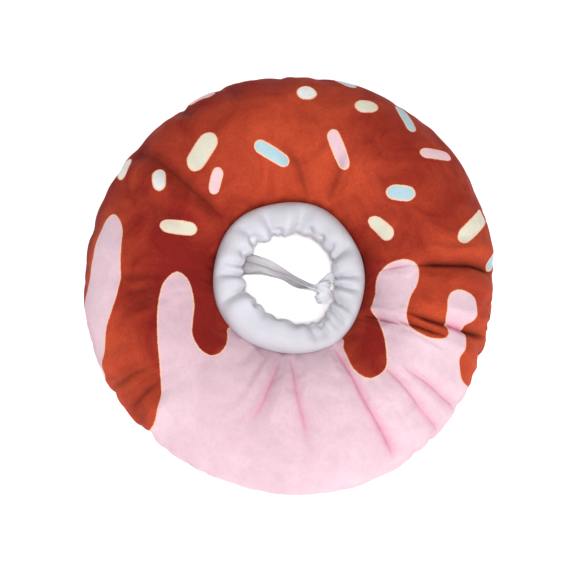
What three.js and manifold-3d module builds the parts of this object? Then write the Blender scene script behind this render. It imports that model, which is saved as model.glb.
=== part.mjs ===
// An inflatable recovery collar for a cat or a small dog: a soft hollow ring round a gathered neck sleeve,
// whose edge is drawn in by a tape tied in a knot.
// It lies on its back, with +Z up out of its printed front and the origin on the floor under its middle.
// Lengths are millimetres. Angles are degrees, anticlockwise from +X as seen from above.
import * as THREE from "three";
import { mergeVertices } from "three/addons/utils/BufferGeometryUtils.js";
import Module from "manifold-3d";

const wasm = await Module();
wasm.setup();

// The ring
const outerDiameter = 305; // mean outside diameter
const holeDiameter = 100; // at its narrowest
const ringHeight = 80; // floor to crown
const seamHeight = 38; // floor to the outer seam, and to the hole's narrowest part
const restWidth = 30; // of the band that the ring's own weight flattens
const coverWall = 3; // plush and air-tight film together
const seamGap = 0.3; // between pieces that are sewn together

// The neck sleeve
const sleeveDiameter = 113; // across the inner seam, where both panels and the sleeve are sewn together
const neckDiameter = 65; // mean width of the opening inside the hem
const sleevePuff = 14; // how far it stands up from the inner seam
const sleeveWall = 1.2;
const hemBead = 3.6; // thickness of the hem, which holds the tape
const gatherCount = 22;
const gatherDepth = 1.2;
const gatherStart = 0.35; // share of the way over the puff to the hem
const puffSweep = 190; // degrees that its line turns through, from the inner seam to the hem
const hemStart = 0.7; // share of the way over the puff at which the hem's bead begins
const hemFull = 0.9;
const sleeveLift = 0.5; // of its edge above the inner seam

// The drawstring
const tapeWidth = 8;
const tapeThickness = 1.2;
const knotLength = 15;
const knotWidth = 10;
const knotDepth = 9;
const knotTurns = 3; // of the tape round the lump
const knotGroove = 0.14; // depth between its turns, as a share of its width
const knotSlant = 0.4;
const strandWidth = 3.6; // of the tape where it is drawn together, between the knot and the hem
const strandThickness = 1.8;
const strandRun = 2.5; // straight into the hem
const tailTwist = 55; // how steeply a tail stands on edge where it leaves the knot
const twistEnd = 0.75; // share of the way along a tail by which it lies flat
const tieGap = 0.3; // between the knot, the tails and the hem

// The inflation valve, on the underside
const valveAngle = 90;
const valveTurn = -48; // round the section, from the outer seam
const flangeDiameter = 22;
const flangeThickness = 1.2;
const stemDiameter = 11;
const stemLength = 8;
const capDiameter = 13;
const capHeight = 3.5;
const valveGap = 0.3;

// How finely the soft pieces are faceted
const coverSegments = 96;
const facetSkew = 0.4; // how much narrower the facets are where the folds are closest, at the angle below
const facetSkewAt = -35;
const sleeveSegments = gatherCount * 4;
const crownRows = 8;
const undersideRows = 3; // on each side of the flat band
const innerWallRows = 2; // from the hole's narrowest part up to the inner seam
const puffRows = 7;
const tailSteps = 14;
const strandSteps = 3;
const roundSegments = 20;

// Waves in an outline, as shares of its radius, each with a crest at its angle.
const ringWaves = [
  { waves: 2, size: 0.017, at: 88 },
  { waves: 3, size: 0.009, at: 59 },
  { waves: 4, size: 0.006, at: 29 },
];
const hemWaves = [
  { waves: 2, size: 0.03, at: -48 },
  { waves: 3, size: 0.05, at: -55 },
];

// Folds in the ring. They run from one share of the way round the section to another, where 0 is the hole's
// narrowest part, 0.5 the crown and 1 the outer seam. The lean is how far the angle moves on the way, and the
// depth is a share of the section's own size.
const ringFolds = [
  { name: "right_crease", at: 1, lean: -4, width: 3.4, depth: 0.15, from: 0.4, to: 0.95 },
  { name: "right_long_fold", at: -19, lean: 8, width: 3.3, depth: 0.13, from: 0.34, to: 0.97 },
  { name: "right_short_fold", at: -26, lean: 4, width: 3, depth: 0.07, from: 0.4, to: 0.95 },
  { name: "sleeve_side_fold", at: -30, lean: 0, width: 3.2, depth: 0.07, from: 0.16, to: 0.44 },
  { name: "lower_right_upper_fold", at: -39.5, lean: 3, width: 3, depth: 0.07, from: 0.48, to: 0.97 },
  { name: "lower_right_lower_fold", at: -46, lean: 0, width: 3, depth: 0.08, from: 0.38, to: 0.98 },
  { name: "lower_long_fold", at: -60, lean: -2, width: 3.4, depth: 0.1, from: 0.16, to: 0.92 },
  { name: "bottom_right_fold", at: -87, lean: 5, width: 4, depth: 0.05, from: 0.16, to: 0.7 },
  { name: "bottom_left_fold", at: -101, lean: -12, width: 4, depth: 0.05, from: 0.16, to: 0.66 },
  { name: "left_corner_fold", at: -140, lean: 1, width: 3.5, depth: 0.08, from: 0.55, to: 0.97 },
  { name: "left_low_fold", at: -147, lean: 0, width: 3.5, depth: 0.05, from: 0.55, to: 0.95 },
  { name: "left_fold", at: -172, lean: 3, width: 5, depth: 0.05, from: 0.3, to: 0.78 },
  { name: "upper_left_dent", at: 155, lean: 0, width: 5, depth: 0.035, from: 0.34, to: 0.68 },
  { name: "upper_left_fold", at: 140, lean: 0, width: 4.5, depth: 0.055, from: 0.2, to: 0.94 },
  { name: "upper_left_notch", at: 122, lean: 0, width: 3.5, depth: 0.045, from: 0.7, to: 0.97 },
  { name: "top_notch", at: 107, lean: 0, width: 3.5, depth: 0.035, from: 0.7, to: 0.96 },
  { name: "top_fold", at: 86, lean: 20, width: 5, depth: 0.05, from: 0.16, to: 0.5 },
  { name: "upper_right_fold", at: 65, lean: 3, width: 5, depth: 0.05, from: 0.16, to: 0.5 },
];
const foldFade = 0.14; // share of the way round over which a fold starts and ends

// Where the tape's two loose tails run: out of the knot, down through the opening and along the floor.
const upperTailRoute = [
  [19.3, -5, 61.2],
  [15.2, -3.6, 58.8],
  [11.3, 0.9, 46.2],
  [6.9, 6.4, 29],
  [1.6, 11, 15],
  [-5.2, 15.7, 6.1],
  [-13.6, 20.7, 2.9],
  [-23, 26, 2.4],
  [-30.5, 30.2, 1.1],
  [-38.4, 34.6, 1],
];
const lowerTailRoute = [
  [19.3, -9.3, 60],
  [15, -8.2, 57.2],
  [10.6, -4, 44],
  [5.7, 1, 26.6],
  [0.2, 5.9, 13],
  [-6.9, 11, 4.5],
  [-15.6, 15.2, 1.3],
  [-25.4, 17.5, 1],
  [-33, 18.2, 1],
  [-41, 18.2, 1],
];
const knotPlace = new THREE.Vector3(24.6, -7.4, 61);
// The two strands between the knot and the hem, by the angle where they leave the hem.
const leadStrands = [
  { name: "upper", hemAngle: 11, knotShare: 0.35, rise: 1.4 },
  { name: "lower", hemAngle: 3, knotShare: 0.3, rise: -1.6 },
];

const holeRadius = holeDiameter / 2;
const { degToRad, radToDeg, smoothstep, lerp } = THREE.MathUtils;
const seamTurn = radToDeg(seamGap / 2 / (ringHeight - seamHeight)); // half of the seam gap, as a turn
const cosine = (degrees) => Math.cos(degToRad(degrees));
const sine = (degrees) => Math.sin(degToRad(degrees));
const polar = (radius, degrees) => [radius * cosine(degrees), radius * sine(degrees)];

function waved(table, angle) {
  return table.reduce((sum, row) => sum + row.size * cosine(row.waves * (angle - row.at)), 1);
}

// The signed difference of two angles, between -180 and 180.
function turnBetween(angle, other) {
  return THREE.MathUtils.euclideanModulo(angle - other + 180, 360) - 180;
}

function foldDepth(angle, along) {
  let depth = 0;
  for (const fold of ringFolds) {
    if (along <= fold.from || along >= fold.to) continue;
    const way = (along - fold.from) / (fold.to - fold.from);
    const off = turnBetween(angle, fold.at + fold.lean * (way - 0.5)) / fold.width;
    const start = smoothstep(along, fold.from, fold.from + foldFade);
    const end = 1 - smoothstep(along, fold.to - foldFade, fold.to);
    depth = Math.max(depth, fold.depth * Math.exp(-off * off) * start * end);
  }
  return depth;
}

// Half the section's width, and its drop below the seams, which the floor then flattens to the rest width.
function sectionSizes(angle) {
  const halfWidth = ((outerDiameter / 2) * waved(ringWaves, angle) - holeRadius) / 2;
  const flatShare = restWidth / 2 / halfWidth;
  const flatTurn = radToDeg(Math.acos(flatShare));
  return { halfWidth, flatTurn, drop: seamHeight / sine(flatTurn) };
}

// A point of the cover as [radius, height]. The turn goes round the section: 0 is the outer seam, 90 the
// crown, 180 the hole's narrowest part, and below 0 the underside. The inset is 0 outside, and the wall
// inside.
function coverPoint(angle, turn, inset) {
  const { halfWidth, drop } = sectionSizes(angle);
  const reach = sine(turn) > 0 ? ringHeight - seamHeight : drop;
  const keep = 1 - foldDepth(angle, 1 - turn / 180);
  const height = seamHeight + (reach - inset) * keep * sine(turn);
  return [holeRadius + halfWidth + (halfWidth - inset) * keep * cosine(turn), Math.max(height, inset)];
}

// The turn at the inner seam, on the ring's inner slope.
function innerSeamTurn(angle) {
  const { halfWidth } = sectionSizes(angle);
  return radToDeg(Math.acos((sleeveDiameter / 2 - holeRadius - halfWidth) / halfWidth));
}

// The angles of the cover's facets, which are narrower towards the skew angle.
function skewedAngle(share) {
  const turn = 360 * share;
  return facetSkewAt + turn - radToDeg(facetSkew) * sine(turn);
}

// A ring whose closed section, as [radius, height] points, is worked out at each angle.
function ringOf(segments, angleAt, section) {
  const points = [];
  for (let i = 0; i < segments; i++) {
    const angle = angleAt(i / segments);
    points.push(...section(angle).map(([r, z]) => new THREE.Vector3(...polar(r, angle), z)));
  }
  const count = points.length / segments;
  const faces = [];
  for (let i = 0; i < segments; i++) {
    const [here, next] = [i * count, ((i + 1) % segments) * count];
    for (let j = 0; j < count; j++) {
      const k = (j + 1) % count;
      faces.push(here + j, next + j, next + k, here + j, next + k, here + k);
    }
  }
  const geometry = new THREE.BufferGeometry().setFromPoints(points).setIndex(faces);
  geometry.computeVertexNormals();
  return geometry;
}

function toSolid(geometry) {
  const bare = geometry.clone();
  bare.deleteAttribute("normal");
  bare.deleteAttribute("uv");
  const merged = mergeVertices(bare);
  const mesh = new wasm.Mesh({
    numProp: 3,
    vertProperties: merged.attributes.position.array,
    triVerts: new Uint32Array(merged.index.array),
  });
  return new wasm.Manifold(mesh);
}

function fromSolid(solid) {
  const mesh = solid.getMesh();
  const geometry = new THREE.BufferGeometry();
  geometry.setAttribute("position", new THREE.BufferAttribute(mesh.vertProperties, 3));
  geometry.setIndex(new THREE.BufferAttribute(mesh.triVerts, 1));
  geometry.computeVertexNormals();
  return geometry;
}

const steps = (count) => Array.from({ length: count + 1 }, (_, i) => i / count);

// A panel of the cover, through the same turns outside and inside its wall.
function panel(turnsAt) {
  return ringOf(coverSegments, skewedAngle, (angle) => {
    const turns = turnsAt(angle);
    const outside = turns.map((turn) => coverPoint(angle, turn, 0));
    return [...outside, ...turns.reverse().map((turn) => coverPoint(angle, turn, coverWall))];
  });
}

// The front panel's turns, from the outer seam over the crown to the inner seam.
function crownTurns(angle) {
  const last = innerSeamTurn(angle) - seamTurn;
  return steps(crownRows).map((share) => lerp(seamTurn, last, share));
}

// The back panel's turns, from the inner seam down the hole, across the flat band and up to the outer seam.
function undersideTurns(angle) {
  const { flatTurn } = sectionSizes(angle);
  const wall = steps(innerWallRows).map((share) => lerp(innerSeamTurn(angle) + seamTurn, 180, share) - 360);
  const down = steps(undersideRows).map((share) => -flatTurn * share);
  const inner = down.slice(1).map((turn) => -180 - turn);
  return [...wall, ...inner, -90, ...down.slice(1).reverse(), -seamTurn];
}

// The plain back panel, with the valve's hole.
function coverBack() {
  const hole = new THREE.CylinderGeometry(1, 1, 1, roundSegments);
  hole.scale(stemDiameter / 2 + valveGap, coverWall * 4, stemDiameter / 2 + valveGap).rotateX(Math.PI / 2);
  hole.applyMatrix4(valveMatrix());
  return fromSolid(toSolid(panel(undersideTurns)).subtract(toSolid(hole)));
}

// Stands a piece made along +Z on the underside, pointing out of it.
function valveMatrix() {
  const { halfWidth, drop } = sectionSizes(valveAngle);
  const [radius, height] = coverPoint(valveAngle, valveTurn, 0);
  const place = new THREE.Vector3(...polar(radius, valveAngle), height);
  const outward = polar(drop * cosine(valveTurn), valveAngle);
  const normal = new THREE.Vector3(...outward, halfWidth * sine(valveTurn));
  const aim = new THREE.Quaternion().setFromUnitVectors(new THREE.Vector3(0, 0, 1), normal.normalize());
  return new THREE.Matrix4().compose(place, aim, new THREE.Vector3(1, 1, 1));
}

function inflationValve() {
  const flangeTop = valveGap + flangeThickness;
  const profile = [
    [0, -stemLength],
    [stemDiameter / 2, -stemLength],
    [stemDiameter / 2, valveGap],
    [flangeDiameter / 2, valveGap],
    [flangeDiameter / 2, flangeTop],
    [capDiameter / 2, flangeTop],
    [capDiameter / 2, flangeTop + capHeight],
    [0, flangeTop + capHeight],
  ].map(([r, z]) => new THREE.Vector2(r, z));
  return new THREE.LatheGeometry(profile, roundSegments).rotateX(Math.PI / 2).applyMatrix4(valveMatrix());
}

// The sleeve's middle line at an angle, from the inner seam to the hem. Outward and upward point out of its
// front.
function sleeveLine(angle) {
  const seamRadius = sleeveDiameter / 2 - sleeveWall / 2;
  const seamTop = coverPoint(angle, innerSeamTurn(angle), 0)[1] + sleeveLift;
  const hemRadius = (neckDiameter / 2) * waved(hemWaves, angle) + hemBead / 2;
  const middle = (seamRadius + hemRadius) / 2;
  const half = (seamRadius - hemRadius) / 2;
  return steps(puffRows).map((share) => {
    const ripple = gatherDepth * smoothstep(share, gatherStart, 1) * cosine(gatherCount * angle);
    const [outward, upward] = [cosine(puffSweep * share), sine(puffSweep * share)];
    return {
      radius: middle + (half + ripple) * outward,
      height: seamTop + (sleevePuff + ripple) * upward,
      outward,
      upward,
      thickness: lerp(sleeveWall, hemBead, smoothstep(share, hemStart, hemFull)),
    };
  });
}

function neckSleeve() {
  return ringOf(sleeveSegments, (share) => 360 * share, (angle) => {
    const line = sleeveLine(angle);
    const face = (side) => (p) => {
      const out = (side * p.thickness) / 2;
      return [p.radius + p.outward * out, p.height + p.upward * out];
    };
    return [...line.map(face(1)), ...line.reverse().map(face(-1))];
  });
}

// The tape's section, flat with its corners taken off.
function tapeSection(width, thickness) {
  const [halfWidth, halfThick, corner] = [width / 2, thickness / 2, thickness / 4];
  const shape = new THREE.Shape();
  shape.moveTo(halfWidth, -halfThick + corner).lineTo(halfWidth, halfThick - corner);
  shape.lineTo(halfWidth - corner, halfThick).lineTo(-halfWidth + corner, halfThick);
  shape.lineTo(-halfWidth, halfThick - corner).lineTo(-halfWidth, -halfThick + corner);
  shape.lineTo(-halfWidth + corner, -halfThick).lineTo(halfWidth - corner, -halfThick);
  return shape;
}

// A tape along a route of points. It starts turned on edge by the twist and comes to lie flat.
function tape(route, width, thickness, twist, count) {
  const curve = new THREE.CatmullRomCurve3(route);
  const options = { depth: 1, steps: count, bevelEnabled: false };
  const strip = new THREE.ExtrudeGeometry(tapeSection(width, thickness), options);
  const places = strip.attributes.position;
  const up = new THREE.Vector3(0, 0, 1);
  for (let i = 0; i < places.count; i++) {
    const share = places.getZ(i);
    const ahead = curve.getTangentAt(share);
    const across = new THREE.Vector3().crossVectors(up, ahead).normalize();
    across.applyAxisAngle(ahead, degToRad(twist * (1 - smoothstep(share, 0, twistEnd))));
    const face = new THREE.Vector3().crossVectors(ahead, across);
    const place = curve.getPointAt(share);
    place.addScaledVector(across, places.getX(i)).addScaledVector(face, places.getY(i));
    places.setXYZ(i, ...place);
  }
  strip.computeVertexNormals();
  return strip;
}

function tail(rows) {
  const route = rows.map((row) => new THREE.Vector3(...row));
  return tape(route, tapeWidth, tapeThickness, tailTwist, tailSteps);
}

// The knot is a lump with the tape's turns round it, joined to the two strands that come out of the hem.
function drawstringKnot() {
  const lump = new THREE.SphereGeometry(1, roundSegments, roundSegments / 2);
  const places = lump.attributes.position;
  for (let i = 0; i < places.count; i++) {
    const p = new THREE.Vector3().fromBufferAttribute(places, i);
    const ridge = Math.cos(knotTurns * Math.PI * (p.y + knotSlant * p.x));
    const groove = 1 - (knotGroove / 2) * (1 - p.y ** 2) * (1 - ridge);
    places.setXYZ(i, (p.x * groove * knotWidth) / 2, (p.y * knotLength) / 2, (p.z * groove * knotDepth) / 2);
  }
  lump.translate(...knotPlace);
  let knot = toSolid(lump);
  for (const strand of leadStrands) {
    const hem = sleeveLine(strand.hemAngle).at(-1);
    const radius = hem.radius - hemBead / 2 - gatherDepth - tieGap;
    const end = new THREE.Vector3(...polar(radius, strand.hemAngle), hem.height);
    const start = knotPlace.clone().add(new THREE.Vector3(0, knotLength * strand.knotShare, strand.rise));
    const bend = polar(radius - strandRun, strand.hemAngle);
    const middle = new THREE.Vector3(...bend, hem.height + tapeThickness);
    knot = knot.add(toSolid(tape([start, middle, end], strandWidth, strandThickness, 0, strandSteps)));
  }
  return fromSolid(knot);
}

const colours = { cocoa: 0xa43525, pink: 0xf0ccd8, white: 0xe6e4ec, tape: 0xdcdce0, valve: 0xe9e6e0 };

function piece(name, geometry, colour, roughness) {
  const material = new THREE.MeshStandardMaterial({ color: colour, roughness, metalness: 0 });
  const mesh = new THREE.Mesh(geometry, material);
  mesh.name = name;
  return mesh;
}

const collar = new THREE.Group();
collar.add(
  piece("cover_front", panel(crownTurns), colours.cocoa, 0.95),
  piece("cover_back", coverBack(), colours.pink, 0.95),
  piece("neck_sleeve", neckSleeve(), colours.white, 0.8),
  piece("drawstring_knot", drawstringKnot(), colours.tape, 0.85),
  piece("drawstring_tail_upper", tail(upperTailRoute), colours.tape, 0.85),
  piece("drawstring_tail_lower", tail(lowerTailRoute), colours.tape, 0.85),
  piece("inflation_valve", inflationValve(), colours.valve, 0.5),
);

// The middle of the whole stands over the origin.
const middle = new THREE.Box3().setFromObject(collar).getCenter(new THREE.Vector3());
collar.position.set(-middle.x, -middle.y, 0);
collar.updateMatrixWorld(true);

export default collar;
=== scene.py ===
# An inflatable recovery collar for a cat or a small dog, lying on its plain back: a plush ring printed as a
# glazed bun, round a gathered white neck sleeve whose hem is drawn in by a knotted tape.
# Tables are in millimetres and degrees, as seen from above. Meshes are in metres.
import math

import bpy
import numpy as np
from mathutils import Matrix, Vector


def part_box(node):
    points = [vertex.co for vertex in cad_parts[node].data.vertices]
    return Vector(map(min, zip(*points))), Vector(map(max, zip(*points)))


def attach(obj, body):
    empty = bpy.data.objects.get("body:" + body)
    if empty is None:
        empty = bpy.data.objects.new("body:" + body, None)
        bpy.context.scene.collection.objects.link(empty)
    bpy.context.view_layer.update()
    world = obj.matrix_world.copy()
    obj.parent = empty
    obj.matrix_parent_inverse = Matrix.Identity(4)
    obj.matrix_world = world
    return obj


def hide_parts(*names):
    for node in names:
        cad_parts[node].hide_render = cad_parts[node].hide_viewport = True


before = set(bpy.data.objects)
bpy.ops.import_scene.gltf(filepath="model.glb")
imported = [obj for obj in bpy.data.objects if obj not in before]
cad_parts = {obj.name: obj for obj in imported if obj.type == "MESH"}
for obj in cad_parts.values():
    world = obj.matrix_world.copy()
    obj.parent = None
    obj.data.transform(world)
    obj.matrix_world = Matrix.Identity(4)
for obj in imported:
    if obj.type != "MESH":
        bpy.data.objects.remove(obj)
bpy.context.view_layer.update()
MM = 0.001

# The ring and the sleeve, as in the CAD, apart from the puff, which is lower here
OUTER_DIAMETER = 305
HOLE_DIAMETER = 100
RING_HEIGHT = 80
SEAM_HEIGHT = 38
REST_WIDTH = 30  # of the band that lies flat on the floor
COVER_WALL = 3
SLEEVE_DIAMETER = 113
NECK_DIAMETER = 65
SLEEVE_PUFF = 10.5
PUFF_SWEEP = 190  # degrees that the sleeve turns, from its seam over the puff to the hem
HEM_BEAD = 3.6  # the hem's thickness
SLEEVE_WALL = 1.2
SLEEVE_LIFT = 0.5  # of the sleeve's seam from the plush

# Waves in an outline, as (waves, share of its radius, angle of a crest). 0 waves change its size.
RING_WAVES = [(2, 0.017, 88), (3, 0.009, 59), (4, 0.006, 29)]
HEM_WAVES = [
    (0, 0.02, 0), (1, -0.03, 90), (2, -0.005, 90), (2, 0.03, -48), (3, -0.025, 90), (3, 0.05, -55),
]
CUFF_WAVES = [
    (0, -0.012, 0), (1, 0.029, -141), (2, 0.017, -59), (3, 0.012, -47), (4, 0.011, 41), (5, 0.008, 1),
    (6, 0.006, 9),
]

# Folds in the ring, as (angle, lean, width, depth, start, end, sharpness). Start and end are shares of the
# way round the section, from the hole over the crown to the outer seam, and depth is a share of its size.
RING_FOLDS = [
    (2.6, -1, 3.6, 0.13, 0.4, 0.98, 1),
    (3.2, 3, 2.6, 0.03, 0.2, 0.46, 0.7),
    (-18.2, 3.2, 3.4, 0.105, 0.38, 0.98, 1),
    (-23.4, 1, 3.2, 0.07, 0.34, 0.68, 0.9),
    (-27.4, 3, 3.2, 0.07, 0.16, 0.44, 0.9),
    (-39.5, 3, 3, 0.042, 0.48, 0.97, 0.5),
    (-46, 0, 3, 0.046, 0.38, 0.98, 0.4),
    (-60, -2, 3.4, 0.055, 0.16, 0.88, 0.55),
    (-87, 5, 4, 0.04, 0.16, 0.66, 0.6),
    (-101, -9, 4, 0.045, 0.16, 0.6, 0.6),
    (-140.5, 1, 4.2, 0.12, 0.57, 0.99, 0.5),
    (-147, -2, 4, 0.11, 0.57, 0.97, 0.45),
    (-168, 1, 2.4, 0.055, 0.4, 0.68, 0.2),
    (-173, 1, 2.2, 0.06, 0.4, 0.68, 0.25),
    (-178.5, 1, 2.4, 0.06, 0.4, 0.68, 0.25),
    (155, 0, 5, 0.035, 0.34, 0.68, 0.15),
    (140, 0, 4.5, 0.055, 0.2, 0.94, 0.45),
    (122, 0, 3.5, 0.045, 0.7, 0.97, 0.5),
    (107, 0, 3.5, 0.035, 0.7, 0.96, 0.4),
    (86, 20, 5, 0.05, 0.16, 0.5, 0.15),
    (65, 3, 5, 0.05, 0.16, 0.5, 0.15),
    (-10.5, 0, 2.4, 0.05, 0.8, 0.98, 0.8),
    (9, -2, 3, 0.04, 0.5, 0.8, 0.2),
]
FOLD_FADE = 0.14  # the share of that way over which a fold comes in, and goes out

# The tails' routes and the knot's middle, close to the CAD's, before SHIFT moves them.
UPPER_TAIL_ROUTE = [
    (21.6, -8.8, 61.2), (16, -7, 59), (11.7, -3.7, 48), (7.5, 0.2, 38), (2.7, 4.4, 28), (-3.5, 9.8, 18),
    (-11, 15.3, 9.5), (-18.6, 19.8, 5.4), (-26.2, 22.6, 3.2), (-32.5, 24.2, 2), (-38.8, 25.4, 1.6),
]
LOWER_TAIL_ROUTE = [
    (21.6, -10.6, 60), (16, -8.1, 57), (11.7, -5.8, 45), (7.5, -3.1, 34), (2.7, 0.5, 24), (-3.5, 6.2, 15),
    (-11, 11.4, 7.5), (-18.6, 14.5, 3.6), (-26.2, 15.6, 1.8), (-34.4, 16, 1.1), (-41.3, 16, 1),
]
KNOT_PLACE = (23.4, -11.4, 61)
TAPE_WIDTH = 8
TAPE_THICKNESS = 1.2
TAIL_TWIST = 47  # degrees
TWIST_FADE = (0.5, 0.84)  # the shares of a tail's length between which its twist goes

# The edge of the printed glaze, as (angle, share of the way from the hole to the outer seam).
LEFT_DRIP_GAP = [
    (-172.5, 0.92), (-181.5, 0.832), (-188, 0.812), (-193.2, 0.808), (-196.6, 0.79), (-199, 0.742),
    (-197.2, 0.689), (-193.8, 0.658), (-186, 0.639), (-178, 0.636), (-171.8, 0.664), (-166.2, 0.719),
    (-161.8, 0.772), (-156.8, 0.836), (-152, 0.914),
]
MIDDLE_DRIP_GAP = [
    (-132.5, 0.942), (-132.2, 0.792), (-134.8, 0.697), (-139, 0.628), (-145.2, 0.567), (-153.8, 0.517),
    (-162.2, 0.483), (-169.5, 0.456), (-175.8, 0.425), (-180.2, 0.369), (-177.8, 0.331), (-170.2, 0.306),
    (-162, 0.311), (-153.5, 0.35), (-148, 0.381), (-142.2, 0.394), (-137, 0.392), (-132.8, 0.372),
    (-130.8, 0.336), (-131.5, 0.281), (-135.5, 0.225), (-139.5, 0.18),
]
RIGHT_DRIPS = [
    (-51.5, 0.197), (-55, 0.239), (-57, 0.311), (-57.5, 0.369), (-55.8, 0.428), (-53.8, 0.45),
    (-49.5, 0.464), (-45.2, 0.458), (-39.8, 0.414), (-34.5, 0.367), (-29, 0.306), (-24.8, 0.239),
    (-13.5, 0.217),
    (-4.2, 0.222), (3.5, 0.272), (6, 0.331), (6.2, 0.381), (4, 0.428), (0, 0.442), (-6, 0.436),
    (-11.2, 0.417), (-17.2, 0.411), (-22.2, 0.422), (-25, 0.45), (-26.2, 0.503), (-26, 0.553),
    (-23.8, 0.619), (-21.5, 0.636), (-19.2, 0.625), (-15.8, 0.6), (-10.8, 0.589), (-7.5, 0.603),
    (-6.2, 0.636), (-6.5, 0.686), (-8.2, 0.736), (-11, 0.75), (-14.5, 0.744), (-17, 0.719),
    (-18.8, 0.739), (-23, 0.739), (-27, 0.731), (-29.8, 0.767), (-31.8, 0.811), (-32, 0.922),
]

# Printed sprinkles, as (colour, angle, share, length, width, turn from the direction round the ring).
SPRINKLES = [
    ("grey", 85, 0.71, 15, 13, -7),
    ("yellow", 66, 0.712, 17.5, 11.5, -25),
    ("blue", 74.5, 0.875, 20, 11, 40),
    ("blue", 54.4, 0.802, 29, 10, 41),
    ("pink", 69, 0.458, 29, 9.4, 45),
    ("blue", 99, 0.41, 28, 9.6, 38),
    ("yellow", 126, 0.545, 31, 14, -20),
    ("pink", 129, 0.4, 19, 8, -34),
    ("grey", 144.5, 0.6, 18, 9.5, -41),
    ("grey", 146.5, 0.85, 23, 12, -47),
    ("pink", 116, 0.87, 22, 12, 22),
    ("yellow", 158, 0.408, 26, 10.4, 72),
    ("pink", 40, 0.742, 27, 9, -56),
    ("blue", 36, 0.472, 20.5, 11, -44),
    ("yellow", 27, 0.31, 23, 11, -24),
    ("yellow", 15.4, 0.775, 42, 12.4, 64),
    ("blue", 5.2, 0.92, 15, 11, 10),
]
SECTION_LENGTH = 147  # of the front of the section, from the hole over the crown to the outer seam

hole_radius = HOLE_DIAMETER / 2
low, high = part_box("neck_sleeve")
SHIFT = np.array([(low.x + high.x) / 2 / MM, (low.y + high.y) / 2 / MM, 0])


def cosine(degrees):
    return np.cos(np.radians(degrees))


def sine(degrees):
    return np.sin(np.radians(degrees))


def smoothstep(value, start, end):
    share = np.clip((value - start) / (end - start), 0, 1)
    return share * share * (3 - 2 * share)


def turn_between(angle, other):
    return (angle - other + 180) % 360 - 180


def waved(table, angle):
    return 1 + sum(size * cosine(waves * (angle - at)) for waves, size, at in table)


def ripple(angle, fewest, most, seed):
    """An irregular wave round the ring, with from fewest to most crests, of about unit size."""
    random = np.random.default_rng(seed)
    counts = np.arange(fewest, most + 1)
    sizes = random.uniform(0.5, 1, len(counts))
    phases = random.uniform(0, 360, len(counts))
    total = sum(s * cosine(n * angle + p) for n, s, p in zip(counts, sizes, phases))
    return total / math.sqrt((sizes**2).sum() / 2) / 1.6


def polar(radius, angle, height):
    """Points from their radius, angle and height."""
    return np.stack(np.broadcast_arrays(radius * cosine(angle), radius * sine(angle), height), -1)


def bell(off, width):
    """1 in the middle, and less further off."""
    return np.exp(-((off / width) ** 2))


def set_all(thing, values):
    for key, value in values.items():
        setattr(thing, key, value)


def unit(vectors):
    return vectors / np.linalg.norm(vectors, axis=-1, keepdims=True)


def added(name, data):
    """A new object in the scene."""
    obj = bpy.data.objects.new(name, data)
    bpy.context.scene.collection.objects.link(obj)
    return obj


# Camera
CAMERA_ELEVATION = math.radians(80)
TOWARD_CAMERA = Vector((0, -math.cos(CAMERA_ELEVATION), math.sin(CAMERA_ELEVATION)))
CAMERA_DISTANCE = 1.2  # metres
CAMERA_LENS = 102.5
SENSOR_WIDTH = 36
CAMERA_AIM = (SHIFT[0] - 2, SHIFT[1] - 4.4, 37.2)


def make_camera():
    data = bpy.data.cameras.new("camera")
    data.lens = CAMERA_LENS
    data.sensor_width = SENSOR_WIDTH
    camera = added("camera", data)
    camera.location = Vector(CAMERA_AIM) * MM + TOWARD_CAMERA * CAMERA_DISTANCE
    camera.rotation_euler = (math.pi / 2 - CAMERA_ELEVATION, 0, 0)
    bpy.context.scene.camera = camera


make_camera()


def grid_mesh(name, points, spans=(1, 1), wrap_rows=True, wrap_columns=True, capped=False):
    """An object from a grid of points, with UVs in metres that run over two spans, all in millimetres."""
    rows, columns = points.shape[:2]
    row_count = rows if wrap_rows else rows - 1
    column_count = columns if wrap_columns else columns - 1
    i, j = np.meshgrid(np.arange(row_count), np.arange(column_count), indexing="ij")
    corners = [(i, j), (i + 1, j), (i + 1, j + 1), (i, j + 1)]
    faces = np.stack([(a % rows) * columns + b % columns for a, b in corners], -1).reshape(-1, 4).tolist()
    uv = np.stack([np.stack([a / row_count, b / column_count], -1) for a, b in corners], -2)
    uv = uv.reshape(-1, 2) * np.array(spans) * MM
    if capped:
        last = rows * columns - 1
        faces += [list(range(columns)), list(range(last, last - columns, -1))]
        uv = np.vstack([uv, np.zeros((2 * columns, 2))])
    mesh = bpy.data.meshes.new(name)
    mesh.from_pydata(points.reshape(-1, 3) * MM, [], faces)
    mesh.uv_layers.new(name="lengths").data.foreach_set("uv", uv.astype(np.float32).ravel())
    mesh.shade_smooth()
    return added(name, mesh)


def point_values(obj, name, values, kind="FLOAT"):
    field = "color" if kind == "FLOAT_COLOR" else "value"
    attribute = obj.data.attributes.new(name, kind, "POINT")
    attribute.data.foreach_set(field, values.astype(np.float32).ravel())


def placed(obj, material, node):
    """Gives a piece its material, and has it stand for its CAD node."""
    obj.data.materials.append(material)
    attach(obj, "root")
    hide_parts(node)


# Materials
NOISE_RANGE = (0.3, 0.7)  # what a noise mostly stays between


def linear(red, green, blue):
    """A colour from its 0 to 255 values."""
    shares = [c / 255 for c in (red, green, blue)]
    return tuple(s / 12.92 if s <= 0.04045 else ((s + 0.055) / 1.055) ** 2.4 for s in shares) + (1,)


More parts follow.
